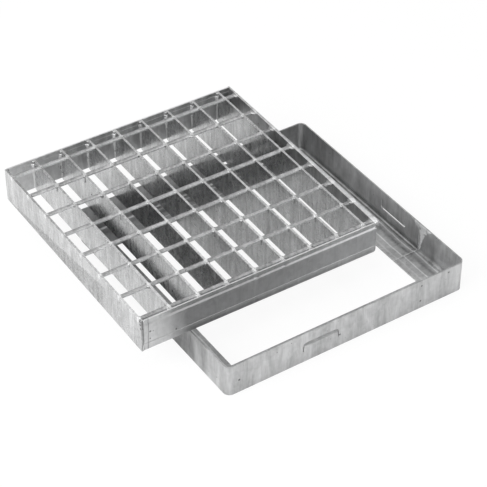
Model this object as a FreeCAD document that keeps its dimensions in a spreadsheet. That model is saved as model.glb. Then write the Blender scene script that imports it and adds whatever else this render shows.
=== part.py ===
import FreeCAD, Part
import os
import Sketcher

# A square steel grating panel lying askew on the rim of its own seating frame, as taken out
# of it. +Z is up, the floor is Z = 0, and the origin is the middle of the frame's underside.
# The frame's front side runs along X. All sizes are in millimetres.

document = FreeCAD.newDocument("steel_grating_panel")

# Driving sizes

sheet = document.addObject("Spreadsheet::Sheet", "Sizes")

SIZES = [
    ("frame_side", 600.0, "outer side of the square seating frame"),
    ("frame_height", 75.0, "height of the frame's walls"),
    ("frame_sheet", 3.0, "thickness of the frame's angle, wall and ledge alike"),
    ("ledge_width", 70.0, "ledge under the panel, from the frame's outer face inwards"),
    ("corner_radius", 15.0, "outer radius where the angle is bent round a corner"),
    ("root_radius", 6.0, "radius in the root between the wall and the ledge"),
    ("anchor_start", 183.5, "front and back walls' anchors, from the wall's left corner"),
    ("side_anchor_start", 201.0, "side walls' anchors, from the right wall's front corner"),
    ("anchor_length", 89.5, "length of a wall anchor's tongue"),
    ("anchor_low", 27.0, "height over the floor that the anchors' cuts reach down to"),
    ("anchor_top", 50.5, "height over the floor that the anchors' cuts reach up to"),
    ("anchor_kerf", 2.0, "width of the cut at the tongue's two ends"),
    ("anchor_mouth", 10.0, "width of the cut along the front and back tongues' free edge"),
    ("side_anchor_mouth", 5.8, "width of the cut along the side tongues' free edge"),
    ("anchor_round", 8.5, "rounding of the cut's outer corners"),
    ("anchor_tip", 6.0, "rounding of the tongue's free corner at its worn end"),
    ("anchor_other_tip", 1.5, "rounding of the tongue's other free corner"),
    ("seam_place", 152.0, "weld seam on the right wall, from the front outer face"),
    ("seam_radius", 2.2, "radius of the weld bead up the wall that closes the bent angle"),
    ("seam_ledge_radius", 0.8, "radius of the same bead over the ledge, dressed nearly flat"),
    ("panel_across", 582.0, "panel's side across the bearing bars"),
    ("panel_along", 590.0, "panel's side along the bearing bars, over the edge bands"),
    ("panel_depth", 81.0, "depth of the panel's bearing bars"),
    ("bar_thickness", 5.0, "thickness of a bearing bar"),
    ("bar_pitch", 67.75, "spacing of the bearing bars"),
    ("first_bay", 70.3, "panel's left face to the middle of the second bearing bar"),
    ("left_bar_inset", 3.5, "how far the left bar stops short of the bands' outer faces"),
    ("cross_side", 8.5, "depth and width of a cross bar, let in flush with the top"),
    ("cross_round", 3.8, "rounding of a cross bar's four long edges, which makes it nearly round"),
    ("cross_pitch", 77.3, "spacing of the cross bars"),
    ("first_cross", 15.5, "panel's front face to the middle of the first cross bar"),
    ("band_foot", 4.0, "how far an edge band stops above the bearing bars' feet"),
    ("band_web", 5.0, "thickness of an edge band's web"),
    ("band_top", 2.8, "thickness of the thin strip along an edge band's top"),
    ("band_step", 1.6, "how far the thin strip is set back from the web's outer face"),
    ("band_slope", 4.5, "height of the slope between the web and the thin strip"),
    ("band_top_height", 10.0, "height of the thin strip"),
    ("band_bead", 0.8, "how far the bead on a band's web stands out"),
    ("band_bead_height", 15.5, "height of the bead's middle over the band's foot"),
    ("band_corner", 6.0, "rounding of a band's lower right corner"),
    ("front_band_end", 11.0, "how far the front band stops short of the panel's right side"),
    ("back_band_end", 6.5, "how far the back band stops short of the panel's right side"),
    ("edge_head", 14.3, "width of the right edge bar's head at the front"),
    ("edge_head_back", 5.5, "width of the same head at the back, where the panel is cut askew"),
    ("edge_lean", 2.0, "how far the head's outer side leans inwards at the back"),
    ("edge_head_height", 10.0, "height of the right edge bar's head at its inner side"),
    ("edge_head_corner", 8.0, "rounding of the head's front right corner, seen from above"),
    ("edge_head_round", 4.0, "rounding of the head's outer upper edge"),
    ("edge_web", 4.0, "thickness of the right edge bar's web"),
    ("panel_left", 412.4, "panel's front left corner, left of the frame's middle"),
    ("panel_front", 165.9, "panel's front left corner, in front of the frame's middle"),
    ("panel_turn", 0.7, "degrees that the lying panel is turned clockwise"),
]

for row, (alias, value, meaning) in enumerate(SIZES, start=1):
    sheet.set("A%d" % row, meaning)
    sheet.set("B%d" % row, str(value))
    sheet.setAlias("B%d" % row, alias)
document.recompute()


def size(alias):
    return float(getattr(sheet, alias))


# Sizes that follow from the driving ones, written as expressions

SEAT_SIDE = "(Sizes.frame_side - 2 * Sizes.frame_sheet)"
BAND_THICKNESS = "(Sizes.band_bead + Sizes.band_web)"
BAR_LENGTH = "(Sizes.panel_along - 2 * %s)" % BAND_THICKNESS


def head_side(along):
    # the inner side of the right edge bar's head, askew to the bearing bars, at a place along it
    return ("(Sizes.panel_across - Sizes.edge_head + (Sizes.edge_head - Sizes.edge_head_back"
            " - Sizes.edge_lean) * (%s) / Sizes.panel_along)" % along)


# How near two values must be to count as the same
SAME = 1e-6
NEAR = 1e-3


def origin_plane(body, role):
    return next(f for f in body.Origin.OriginFeatures if f.Role == role)


def outline_sketch(body, role, name, corners):
    # A closed outline on one of the body's own origin planes. Each corner is a pair of
    # expressions, and stays bound to them: a corner left of or below the origin is measured
    # from the corner to the origin, so that every distance is positive.
    sketch = body.newObject("Sketcher::SketchObject", name)
    sketch.AttachmentSupport = [(origin_plane(body, role), "")]
    sketch.MapMode = "FlatFace"
    places = [tuple(float(sheet.evalExpression(e)) for e in corner) for corner in corners]
    count = len(corners)
    for index in range(count):
        start = FreeCAD.Vector(places[index][0], places[index][1], 0)
        end = FreeCAD.Vector(places[(index + 1) % count][0], places[(index + 1) % count][1], 0)
        sketch.addGeometry(Part.LineSegment(start, end), False)
    for index in range(count):
        sketch.addConstraint(Sketcher.Constraint("Coincident", index, 2, (index + 1) % count, 1))
    for index, corner in enumerate(corners):
        for axis, kind, line in ((0, "DistanceX", -2), (1, "DistanceY", -1)):
            place = places[index][axis]
            if abs(place) < SAME:
                sketch.addConstraint(Sketcher.Constraint("PointOnObject", index, 1, line))
                continue
            if place > 0:
                rule = Sketcher.Constraint(kind, -1, 1, index, 1, place)
                expression = corner[axis]
            else:
                rule = Sketcher.Constraint(kind, index, 1, -1, 1, -place)
                expression = "-(%s)" % corner[axis]
            number = sketch.addConstraint(rule)
            sketch.setExpression("Constraints[%d]" % number, expression)
    return sketch


def rectangle(left, front, right, back):
    return [(left, front), (right, front), (right, back), (left, back)]


def pad(body, sketch, name, length):
    feature = body.newObject("PartDesign::Pad", name)
    feature.Profile = sketch
    feature.setExpression("Length", length)
    return feature


def pocket(body, sketch, name, length):
    feature = body.newObject("PartDesign::Pocket", name)
    feature.Profile = sketch
    feature.setExpression("Length", length)
    return feature


def shift(item, axis, expression):
    item.setExpression("AttachmentOffset.Base.%s" % axis, expression)


def edges_where(feature, test):
    return ["Edge%d" % (i + 1) for i, e in enumerate(feature.Shape.Edges) if test(e)]


def round_edges(body, base, name, radius, test):
    feature = body.newObject("PartDesign::Fillet", name)
    feature.Base = (base, edges_where(base, test))
    feature.setExpression("Radius", radius)
    return feature


def upright(edge):
    start, end = edge.Vertexes[0].Point, edge.Vertexes[-1].Point
    return abs(start.x - end.x) < SAME and abs(start.y - end.y) < SAME


# Seating frame: one angle, ledge inwards, bent round four corners and welded end to end

frame = document.addObject("PartDesign::Body", "seating_frame")
frame.Label = "seating_frame"

half = "(Sizes.frame_side / 2)"
outer = outline_sketch(frame, "XY_Plane", "wall_outline",
                       rectangle("-" + half, "-" + half, half, half))
block = pad(frame, outer, "wall_block", "Sizes.frame_height")
document.recompute()

seat_half = "(%s / 2)" % SEAT_SIDE
seat = outline_sketch(frame, "XY_Plane", "seat_outline",
                      rectangle("-" + seat_half, "-" + seat_half, seat_half, seat_half))
shift(seat, "z", "Sizes.frame_height")
hollow = pocket(frame, seat, "seat_hollow", "Sizes.frame_height - Sizes.frame_sheet")
document.recompute()


def corner_at(reach):
    def test(edge):
        middle = edge.CenterOfMass
        return (upright(edge) and abs(abs(middle.x) - reach) < NEAR
                and abs(abs(middle.y) - reach) < NEAR)
    return test


hollow = round_edges(frame, hollow, "inner_corners", "Sizes.corner_radius - Sizes.frame_sheet",
                     corner_at(size("frame_side") / 2 - size("frame_sheet")))
document.recompute()
hollow = round_edges(frame, hollow, "outer_corners", "Sizes.corner_radius",
                     corner_at(size("frame_side") / 2))
document.recompute()

opening_half = "(Sizes.frame_side / 2 - Sizes.ledge_width)"
opening = outline_sketch(frame, "XY_Plane", "opening_outline",
                         rectangle("-" + opening_half, "-" + opening_half,
                                   opening_half, opening_half))
shift(opening, "z", "Sizes.frame_sheet")
clear = pocket(frame, opening, "clear_opening", "Sizes.frame_sheet")
document.recompute()

opening_reach = size("frame_side") / 2 - size("ledge_width")


def ledge_root(edge):
    middle = edge.CenterOfMass
    reach = max(abs(middle.x), abs(middle.y))
    return (abs(edge.BoundBox.ZMin - size("frame_sheet")) < NEAR
            and edge.BoundBox.ZLength < NEAR and reach > opening_reach + size("frame_sheet"))


root = round_edges(frame, clear, "ledge_root", "Sizes.root_radius", ledge_root)
document.recompute()

# Wall anchors: a tongue in each wall, freed by a cut along one edge and round its two ends,
# that is knocked outwards into the concrete. It stays in the wall's plane until then. The
# front and back walls' tongues are cut free along the top, the side walls' along the foot.

# a rounded corner is drawn with one point between its two ends, this share in from the corner
ROUND_SHARE = 0.29


def anchor_outline(start, free, bend, inwards, mouth, left_tip, right_tip):
    # start is the cut's distance from the wall's corner, free and bend are the heights of the
    # cut's outer edge and the bend line, inwards is the sign from the first to the second, and
    # the tips are the roundings of the tongue's two free corners
    anchor_left = "(%s - Sizes.frame_side / 2)" % start
    anchor_right = "(%s + Sizes.anchor_length - Sizes.frame_side / 2)" % start

    def height(distance):
        return "%s %s %s" % (free, inwards, distance)

    round_part = "%s * Sizes.anchor_round" % ROUND_SHARE
    tongue_left = anchor_left + " + Sizes.anchor_kerf"
    tongue_right = anchor_right + " - Sizes.anchor_kerf"
    left_part = "%s * %s" % (ROUND_SHARE, left_tip)
    right_part = "%s * %s" % (ROUND_SHARE, right_tip)
    return [
        (anchor_left, bend),
        (tongue_left, bend),
        (tongue_left, height("(%s + %s)" % (mouth, left_tip))),
        (tongue_left + " + " + left_part, height("(%s + %s)" % (mouth, left_part))),
        (tongue_left + " + " + left_tip, height(mouth)),
        (tongue_right + " - " + right_tip, height(mouth)),
        (tongue_right + " - " + right_part, height("(%s + %s)" % (mouth, right_part))),
        (tongue_right, height("(%s + %s)" % (mouth, right_tip))),
        (tongue_right, bend),
        (anchor_right, bend),
        (anchor_right, height("Sizes.anchor_round")),
        (anchor_right + " - " + round_part, height(round_part)),
        (anchor_right + " - Sizes.anchor_round", free),
        (anchor_left + " + Sizes.anchor_round", free),
        (anchor_left + " + " + round_part, height(round_part)),
        (anchor_left, height("Sizes.anchor_round")),
    ]


turning_axis = next(f for f in frame.Origin.OriginFeatures if f.Role == "Z_Axis")
cut_top = outline_sketch(frame, "XZ_Plane", "cut_along_top",
                         anchor_outline("Sizes.anchor_start", "Sizes.anchor_top",
                                        "Sizes.anchor_low", "-", "Sizes.anchor_mouth",
                                        "Sizes.anchor_tip", "Sizes.anchor_other_tip"))
shift(cut_top, "z", half)
slot = pocket(frame, cut_top, "slot_along_top", "2 * Sizes.frame_sheet")
document.recompute()
front_back = frame.newObject("PartDesign::PolarPattern", "front_and_back_anchors")
front_back.Originals = [slot]
front_back.Axis = (turning_axis, [""])
front_back.Occurrences = 2
frame.Tip = front_back
document.recompute()

cut_foot = outline_sketch(frame, "YZ_Plane", "cut_along_foot",
                          anchor_outline("Sizes.side_anchor_start", "Sizes.anchor_low",
                                         "Sizes.anchor_top", "+", "Sizes.side_anchor_mouth",
                                         "Sizes.anchor_other_tip", "Sizes.anchor_tip"))
shift(cut_foot, "z", half)
side_slot = pocket(frame, cut_foot, "slot_along_foot", "2 * Sizes.frame_sheet")
document.recompute()
sides = frame.newObject("PartDesign::PolarPattern", "side_anchors")
sides.Originals = [side_slot]
sides.Axis = (turning_axis, [""])
sides.Occurrences = 2
frame.Tip = sides
document.recompute()

# Weld seam: the bead that closes the bent angle, up the right wall's inner face and over
# the ledge
wall_bead = frame.newObject("PartDesign::AdditiveCylinder", "wall_bead")
wall_bead.setExpression("Radius", "Sizes.seam_radius")
wall_bead.setExpression("Height", "Sizes.frame_height - Sizes.frame_sheet")
wall_bead.setExpression("Placement.Base.x", seat_half)
wall_bead.setExpression("Placement.Base.y", "Sizes.seam_place - Sizes.frame_side / 2")
wall_bead.setExpression("Placement.Base.z", "Sizes.frame_sheet")
ledge_bead = frame.newObject("PartDesign::AdditiveCylinder", "ledge_bead")
ledge_bead.setExpression("Radius", "Sizes.seam_ledge_radius")
ledge_bead.setExpression("Height", "Sizes.ledge_width - Sizes.frame_sheet")
ledge_bead.Placement.Rotation = FreeCAD.Rotation(FreeCAD.Vector(0, 1, 0), 90)
ledge_bead.setExpression("Placement.Base.x", opening_half)
ledge_bead.setExpression("Placement.Base.y", "Sizes.seam_place - Sizes.frame_side / 2")
ledge_bead.setExpression("Placement.Base.z", "Sizes.frame_sheet")
document.recompute()


# The panel's pieces are drawn from the panel's own front left lower corner, and each is then
# laid on the frame's rim by the same placement.

def lay_on_rim(item):
    item.setExpression("Placement.Base.x", "-Sizes.panel_left")
    item.setExpression("Placement.Base.y", "-Sizes.panel_front")
    item.setExpression("Placement.Base.z", "Sizes.frame_height")
    item.setExpression("Placement.Rotation.Angle", "-Sizes.panel_turn")


def grid_bar(name, length_x, length_y, length_z, x, y, z):
    bar = document.addObject("Part::Box", name)
    for prop, expression in (("Length", length_x), ("Width", length_y), ("Height", length_z)):
        bar.setExpression(prop, expression)
    for axis, expression in (("x", x), ("y", y), ("z", z)):
        bar.setExpression("Placement.Base.%s" % axis, expression)
    return bar


# Bar grid: full-depth bearing bars from front to back, and nearly round cross bars let in
# flush with their tops and fused with them where they cross. Each cross bar ends at the head
# of the right edge bar, which runs askew.

grid_bars = [grid_bar("left_bearing_bar", "Sizes.bar_thickness",
                      "Sizes.panel_along - 2 * Sizes.left_bar_inset", "Sizes.panel_depth",
                      "0", "Sizes.left_bar_inset", "0")]

bay_room = (size("panel_across") - size("edge_head") - size("bar_thickness")
            - size("first_bay"))
inner_bar_count = 1 + int(bay_room // size("bar_pitch"))
for number in range(inner_bar_count):
    middle = "Sizes.first_bay + %d * Sizes.bar_pitch" % number
    grid_bars.append(grid_bar("bearing_bar_%d" % (number + 2), "Sizes.bar_thickness",
                              BAR_LENGTH, "Sizes.panel_depth",
                              middle + " - Sizes.bar_thickness / 2", BAND_THICKNESS, "0"))

cross_room = (size("panel_along") - size("band_bead") - size("band_web")
              - size("cross_side") - size("first_cross"))
cross_bar_count = 1 + int(cross_room // size("cross_pitch"))
for number in range(cross_bar_count):
    front_side = ("Sizes.first_cross + %d * Sizes.cross_pitch - Sizes.cross_side / 2" % number)
    cross_length = head_side(front_side) + " - Sizes.bar_thickness / 2"
    square = grid_bar("cross_square_%d" % (number + 1), cross_length, "Sizes.cross_side",
                      "Sizes.cross_side", "Sizes.bar_thickness / 2", front_side,
                      "Sizes.panel_depth - Sizes.cross_side")
    document.recompute()
    rounded = document.addObject("Part::Fillet", "cross_bar_%d" % (number + 1))
    rounded.Base = square
    long_edges = [i + 1 for i, e in enumerate(square.Shape.Edges)
                  if e.BoundBox.XLength > size("cross_side")]
    rounded.Edges = [(i, size("cross_round"), size("cross_round")) for i in long_edges]
    grid_bars.append(rounded)

bar_grid = document.addObject("Part::MultiFuse", "bar_grid")
bar_grid.Label = "bar_grid"
bar_grid.Shapes = grid_bars
bar_grid.Refine = True
lay_on_rim(bar_grid)


# Edge bands: a rolled strip whose thin upper part is set back from the web behind a short
# slope, with a bead along the web. The front band's section is drawn looking along it, depth
# from the outer face first and height over the bearing bars' feet second.

strip_out = "(Sizes.band_bead + Sizes.band_step)"
strip_in = "(Sizes.band_bead + Sizes.band_step + Sizes.band_top)"
strip_low = "(Sizes.panel_depth - Sizes.band_top_height)"
bead_middle = "(Sizes.band_foot + Sizes.band_bead_height)"


def band_section(at):
    # at turns a depth from the band's outer face into the sketch's own coordinate
    return [
        (at("Sizes.band_bead"), "Sizes.band_foot"),
        (at(BAND_THICKNESS), "Sizes.band_foot"),
        (at(BAND_THICKNESS), strip_low),
        (at(strip_in), strip_low),
        (at(strip_in), "Sizes.panel_depth"),
        (at(strip_out), "Sizes.panel_depth"),
        (at(strip_out), strip_low),
        (at("Sizes.band_bead"), strip_low + " - Sizes.band_slope"),
        (at("Sizes.band_bead"), bead_middle + " + 2 * Sizes.band_bead"),
        (at("0"), bead_middle + " + Sizes.band_bead"),
        (at("0"), bead_middle + " - Sizes.band_bead"),
        (at("Sizes.band_bead"), bead_middle + " - 2 * Sizes.band_bead"),
    ]


def edge_band(name, at, right_end, notch_left, end_front, end_back):
    band = document.addObject("PartDesign::Body", name)
    band.Label = name
    section = outline_sketch(band, "YZ_Plane", name + "_section", band_section(at))
    shift(section, "z", "Sizes.bar_thickness")
    pad(band, section, name + "_strip",
        "Sizes.panel_across - Sizes.bar_thickness - %s" % right_end)
    document.recompute()
    # the thin upper part stops at the head of the right edge bar
    notch = outline_sketch(band, "XY_Plane", name + "_notch",
                           rectangle(notch_left, end_front, "Sizes.panel_across", end_back))
    shift(notch, "z", "Sizes.panel_depth")
    end = pocket(band, notch, name + "_end", "Sizes.edge_head_height")
    document.recompute()

    def lower_right(edge):
        middle = edge.CenterOfMass
        return (abs(middle.z - size("band_foot")) < NEAR
                and abs(middle.x - end.Shape.BoundBox.XMax) < NEAR)

    round_edges(band, end, name + "_corner", "Sizes.band_corner", lower_right)
    document.recompute()
    lay_on_rim(band)
    return band


back_inner = "Sizes.panel_along - " + BAND_THICKNESS
front_band = edge_band("front_band", lambda depth: depth, "Sizes.front_band_end",
                       head_side("0"), "0", BAND_THICKNESS)
back_band = edge_band("back_band", lambda depth: "Sizes.panel_along - %s" % depth,
                      "Sizes.back_band_end", head_side(back_inner),
                      back_inner, "Sizes.panel_along")


# Right edge bar: a head, rounded along its outer edge, which runs over the bands to the
# panel's corners, and a web below its inner side that stops between the bands. The head is
# broad at the front and narrow at the back.

right_edge_bar = document.addObject("PartDesign::Body", "right_edge_bar")
right_edge_bar.Label = "right_edge_bar"
head_low = "(Sizes.panel_depth - Sizes.edge_head_height)"
head_front = "Sizes.band_bead"
head_back = "Sizes.panel_along - Sizes.band_bead"
head = outline_sketch(right_edge_bar, "XY_Plane", "head_outline",
                      [(head_side(head_front), head_front), ("Sizes.panel_across", head_front),
                       ("Sizes.panel_across - Sizes.edge_lean", head_back),
                       (head_side(head_back), head_back)])
shift(head, "z", head_low)
head_block = pad(right_edge_bar, head, "head", "Sizes.edge_head_height")
document.recompute()


def front_right(edge):
    middle = edge.CenterOfMass
    return (upright(edge) and abs(middle.x - size("panel_across")) < NEAR
            and abs(middle.y - size("band_bead")) < NEAR)


head_block = round_edges(right_edge_bar, head_block, "head_corner", "Sizes.edge_head_corner",
                         front_right)
document.recompute()


def outer_top(edge):
    middle = edge.CenterOfMass
    return (abs(middle.z - size("panel_depth")) < NEAR
            and middle.x > size("panel_across") - size("edge_lean"))


round_edges(right_edge_bar, head_block, "head_round", "Sizes.edge_head_round", outer_top)
document.recompute()
web = outline_sketch(right_edge_bar, "XY_Plane", "web_outline",
                     [(head_side(BAND_THICKNESS), BAND_THICKNESS),
                      (head_side(BAND_THICKNESS) + " + Sizes.edge_web", BAND_THICKNESS),
                      (head_side(back_inner) + " + Sizes.edge_web", back_inner),
                      (head_side(back_inner), back_inner)])
pad(right_edge_bar, web, "web", head_low)
document.recompute()
lay_on_rim(right_edge_bar)
document.recompute()

# Every object is checked before anything is written

parts = [frame, bar_grid, front_band, back_band, right_edge_bar]
for item in document.Objects:
    if "Invalid" in item.State or "Error" in item.State:
        raise RuntimeError("%s is %s" % (item.Name, item.State))
for item in parts:
    if item.Shape.isNull() or not item.Shape.isValid():
        raise RuntimeError("%s has no valid shape" % item.Label)

os.makedirs("parts", exist_ok=True)
for item in parts:
    item.Shape.exportStep("parts/%s.step" % item.Label)
    box = item.Shape.BoundBox
    print("%-16s solids %d  volume %10.0f mm3  x %7.1f to %7.1f  y %7.1f to %7.1f  z %6.1f to %6.1f"
          % (item.Label, len(item.Shape.Solids), item.Shape.Volume,
             box.XMin, box.XMax, box.YMin, box.YMax, box.ZMin, box.ZMax))
print("bearing bars %d, cross bars %d" % (inner_bar_count + 1, cross_bar_count))
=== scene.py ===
# %% [markdown]
# # A steel grating panel on its seating frame
#
# The part is a square walkway grating of hot-dip galvanised steel, lying askew on the rim of
# the angle frame that it is made to drop into. Its bars, bands and frame come from a packed
# model at their real size. This lesson gives every surface its zinc finish, adds the small
# lumps of weld that a drawing leaves out, and lights the part plainly.

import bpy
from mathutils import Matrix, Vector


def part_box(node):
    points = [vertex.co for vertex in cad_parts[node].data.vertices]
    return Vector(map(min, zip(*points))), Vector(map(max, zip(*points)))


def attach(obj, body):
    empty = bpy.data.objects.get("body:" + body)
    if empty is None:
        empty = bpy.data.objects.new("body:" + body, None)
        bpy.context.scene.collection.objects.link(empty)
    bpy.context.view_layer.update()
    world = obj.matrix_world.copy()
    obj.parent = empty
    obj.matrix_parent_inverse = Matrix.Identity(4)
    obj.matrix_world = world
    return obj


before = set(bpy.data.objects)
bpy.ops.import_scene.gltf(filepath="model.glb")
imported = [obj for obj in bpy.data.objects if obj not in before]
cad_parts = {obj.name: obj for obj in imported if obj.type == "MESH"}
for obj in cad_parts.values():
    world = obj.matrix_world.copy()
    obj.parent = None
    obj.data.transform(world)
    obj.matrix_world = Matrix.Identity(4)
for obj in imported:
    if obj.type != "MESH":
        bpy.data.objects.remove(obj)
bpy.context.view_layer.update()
print("nodes:", sorted(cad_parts))

# %% [markdown]
# ## Modules
#
# bmesh builds a mesh point by point, and mathutils has the vectors, the matrices and a smooth
# noise function. Places are measured in the object's own millimetres and turned into Blender's
# metres at the end. Values inside the node groups are in metres from the start.

# %% Modules
import math
import random

import bmesh
import bpy
from mathutils import Matrix, Vector, noise

MILLIMETRE = 0.001
scene = bpy.context.scene

# %% [markdown]
# ## Where things are
#
# The panel has its own axes: across the bearing bars, along them, and up from its underside.
# It is turned a little on the frame, so a weld that belongs to the panel is placed in the
# panel's own millimetres first and then laid on the rim with one matrix. Keeping that matrix in
# one place is safer than turning every point by hand.

# %% The panel's own axes
PANEL_LEFT = -412.4
PANEL_FRONT = -165.9
PANEL_TURN = math.radians(-0.7)
panel_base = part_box("bar_grid")[0].z / MILLIMETRE
panel_depth = (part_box("bar_grid")[1].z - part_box("bar_grid")[0].z) / MILLIMETRE

lay_on_rim = (Matrix.Translation(Vector((PANEL_LEFT, PANEL_FRONT, panel_base)))
              @ Matrix.Rotation(PANEL_TURN, 4, "Z"))


def on_panel(across, along, up):
    return lay_on_rim @ Vector((across, along, up)) * MILLIMETRE


print("panel depth in mm:", round(panel_depth, 2))

# %% [markdown]
# ## The rows of bars
#
# The bars repeat at even steps, so two lists of places are enough to find every crossing. The
# right edge bar's head leans, so where it begins depends on the distance from the front.

# %% The rows of bars
BAR_THICKNESS = 5.0
CROSS_SIDE = 8.5
HEAD_WIDTH = 14.3
HEAD_LEAN = 2.0
FIRST_BAR = 70.3
BAR_PITCH = 67.75
BAR_COUNT = 8
FIRST_CROSS = 15.5
CROSS_PITCH = 77.3
CROSS_COUNT = 8

BAND_DEPTH = 5.8
PANEL_ALONG = 590.0
HEAD_SIDE_FRONT = 567.7
HEAD_SIDE_BACK = 574.5

bar_places = [FIRST_BAR + BAR_PITCH * (number - 1) for number in range(BAR_COUNT + 1)]
cross_places = [FIRST_CROSS + CROSS_PITCH * number for number in range(CROSS_COUNT)]


def head_side(along):
    return HEAD_SIDE_FRONT + (HEAD_SIDE_BACK - HEAD_SIDE_FRONT) * along / PANEL_ALONG


print("crossings:", len(bar_places) * len(cross_places))

# %% [markdown]
# ## The camera
#
# The photograph was taken with a long lens from the front left, looking down at about forty
# degrees. Those three numbers set the camera, and its distance follows from the size of the
# part in the picture.

# %% Camera
LENS = 136.47
SENSOR = 36.0
AZIMUTH = math.radians(-33.50)
ELEVATION = math.radians(39.78)
LOOK_AT = Vector((-0.0080, 0.0823, 0.0))
DISTANCE = 4.055

back = Vector((math.sin(AZIMUTH) * math.cos(ELEVATION),
               -math.cos(AZIMUTH) * math.cos(ELEVATION), math.sin(ELEVATION)))
camera_data = bpy.data.cameras.new("camera")
camera_data.lens = LENS
camera_data.sensor_width = SENSOR
camera = bpy.data.objects.new("camera", camera_data)
camera.location = LOOK_AT + back * DISTANCE
camera.rotation_mode = "QUATERNION"
camera.rotation_quaternion = (-back).to_track_quat("-Z", "Y")
scene.collection.objects.link(camera)
scene.camera = camera
print("camera at", [round(x, 3) for x in camera.location])

# %% [markdown]
# ## Small helpers for shader nodes
#
# A shader is a web of nodes. Two helpers keep the cells below short: one adds a node and fills
# in its sockets by name, the other makes an empty node group with named sockets.

# %% Node helpers


def add_node(tree, kind, settings=None, **sockets):
    node = tree.nodes.new(kind)
    for name, value in (settings or {}).items():
        setattr(node, name, value)
    for name, value in sockets.items():
        socket = node.inputs[name.replace("_", " ")]
        if isinstance(value, bpy.types.NodeSocket):
            tree.links.new(value, socket)
        else:
            socket.default_value = value
    return node


def calculate(tree, operation, first, second=0.0):
    node = add_node(tree, "ShaderNodeMath", {"operation": operation})
    for socket, value in zip(node.inputs, (first, second)):
        if isinstance(value, bpy.types.NodeSocket):
            tree.links.new(value, socket)
        else:
            socket.default_value = value
    return node.outputs[0]


def remap(tree, value, low, high, to_low=0.0, to_high=1.0):
    node = add_node(tree, "ShaderNodeMapRange", {"interpolation_type": "SMOOTHSTEP"},
                    Value=value, From_Min=low, From_Max=high, To_Min=to_low, To_Max=to_high)
    return node.outputs["Result"]


def stretch(tree, vector, factors):
    node = add_node(tree, "ShaderNodeVectorMath", {"operation": "MULTIPLY"})
    tree.links.new(vector, node.inputs[0])
    node.inputs[1].default_value = factors
    return node.outputs[0]


def new_group(name, inputs, outputs):
    tree = bpy.data.node_groups.new(name, "ShaderNodeTree")
    for label, kind, default in inputs:
        socket = tree.interface.new_socket(label, in_out="INPUT", socket_type=kind)
        socket.default_value = default
    for label in outputs:
        tree.interface.new_socket(label, in_out="OUTPUT", socket_type="NodeSocketFloat")
    return tree, tree.nodes.new("NodeGroupInput"), tree.nodes.new("NodeGroupOutput")


def place_group(tree, group, **sockets):
    return add_node(tree, "ShaderNodeGroup", {"node_tree": group}, **sockets)


# %% [markdown]
# ## Dip streaks
#
# When steel is lifted out of molten zinc, the zinc runs down and freezes in soft upright
# streaks. A noise texture squeezed sideways and stretched upright looks just like that. The
# streaks are on every piece, so they are one node group with the width of a streak as input.

# %% Dip streaks group
STREAK_SQUEEZE = (1.0, 1.0, 0.12)
RUN_SQUEEZE = (1.0, 1.0, 0.3)


def make_dip_streaks():
    tree, inputs, outputs = new_group("dip_streaks", [
        ("Position", "NodeSocketVector", (0.0, 0.0, 0.0)),
        ("Streaks per Metre", "NodeSocketFloat", 95.0),
    ], ["Streak", "Run"])
    position = inputs.outputs["Position"]
    squeezed = stretch(tree, position, STREAK_SQUEEZE)
    wavy = add_node(tree, "ShaderNodeTexNoise", {"noise_dimensions": "3D"},
                    Vector=squeezed, Scale=inputs.outputs["Streaks per Metre"], Detail=5.0,
                    Roughness=0.68, Distortion=0.9)
    tree.links.new(wavy.outputs["Fac"], outputs.inputs["Streak"])
    broad = stretch(tree, position, RUN_SQUEEZE)
    runs = add_node(tree, "ShaderNodeTexNoise", {"noise_dimensions": "3D"},
                    Vector=broad, Scale=30.0, Detail=3.0, Roughness=0.5, Distortion=0.8)
    tree.links.new(runs.outputs["Fac"], outputs.inputs["Run"])
    return tree


dip_streaks = make_dip_streaks()
print("group:", dip_streaks.name)

# %% [markdown]
# ## Zinc crystals
#
# Zinc freezes in flat crystals about a centimetre across. Each turns the light its own way, so
# the surface shows faint angular patches. A Voronoi texture has the same straight-edged cells,
# and its random cell colour becomes a small change of tone.

# %% Zinc crystals group


def make_zinc_crystals():
    tree, inputs, outputs = new_group("zinc_crystals", [
        ("Position", "NodeSocketVector", (0.0, 0.0, 0.0)),
        ("Crystals per Metre", "NodeSocketFloat", 110.0),
    ], ["Crystal", "Grain"])
    position = inputs.outputs["Position"]
    cells = add_node(tree, "ShaderNodeTexVoronoi", {"feature": "F1"}, Vector=position,
                     Scale=inputs.outputs["Crystals per Metre"], Randomness=1.0)
    shade = add_node(tree, "ShaderNodeSeparateColor", Color=cells.outputs["Color"])
    tree.links.new(shade.outputs["Red"], outputs.inputs["Crystal"])
    fine = add_node(tree, "ShaderNodeTexNoise", {"noise_dimensions": "3D"},
                    Vector=position, Scale=900.0, Detail=3.0, Roughness=0.6)
    tree.links.new(fine.outputs["Fac"], outputs.inputs["Grain"])
    return tree


zinc_crystals = make_zinc_crystals()
print("group:", zinc_crystals.name)

# %% [markdown]
# ## Pits
#
# A few small dark specks show where a bubble or a grain of ash kept the zinc off. The darkest
# peaks of a noise texture make such specks, and how much of the surface has them is an input.

# %% Pits group
PIT_RIM = 0.03


def make_pits():
    tree, inputs, outputs = new_group("pits", [
        ("Position", "NodeSocketVector", (0.0, 0.0, 0.0)),
        ("Share Left Clean", "NodeSocketFloat", 0.72),
    ], ["Pit"])
    spots = add_node(tree, "ShaderNodeTexNoise", {"noise_dimensions": "3D"},
                     Vector=inputs.outputs["Position"], Scale=95.0, Detail=2.0, Roughness=0.55)
    clean = inputs.outputs["Share Left Clean"]
    full = calculate(tree, "ADD", clean, PIT_RIM)
    pit = remap(tree, spots.outputs["Fac"], clean, full)
    tree.links.new(pit, outputs.inputs["Pit"])
    return tree


pits = make_pits()
print("group:", pits.name)

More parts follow.
